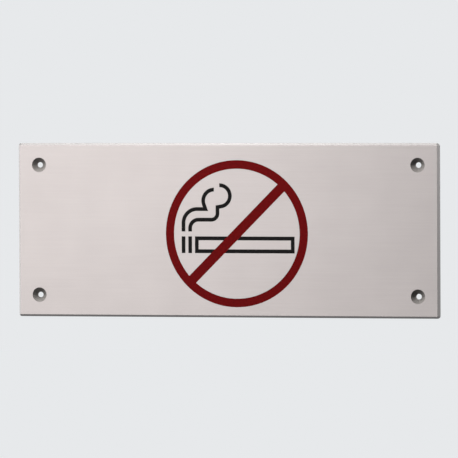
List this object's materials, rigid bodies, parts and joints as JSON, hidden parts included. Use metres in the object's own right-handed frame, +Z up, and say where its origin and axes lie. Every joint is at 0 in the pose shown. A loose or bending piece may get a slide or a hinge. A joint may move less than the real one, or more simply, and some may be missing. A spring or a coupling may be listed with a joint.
{
  "type": "no smoking sign",
  "caption": "Flat rectangular wall sign of brushed steel with bevelled edges, countersunk corner screw holes and an etched, colour-filled no smoking symbol.",
  "frame": {"origin": "centre of the plate's back face, on the wall it is screwed to", "axes": "+Z up the sign, +X along its width to the viewer's right, +Y into the wall; the face looks toward -Y"},
  "size_m": [0.25, 0.003, 0.1],
  "materials": {
    "brushed_plate": "satin",
    "red_fill": "satin",
    "black_fill": "satin"
  },
  "bodies": {
    "root": {"sign_plate": "brushed_plate", "prohibition_ring": "red_fill", "cigarette": "black_fill", "tip_bars": "black_fill", "outer_smoke_line": "black_fill", "inner_smoke_line": "black_fill"}
  },
  "joints": []
}
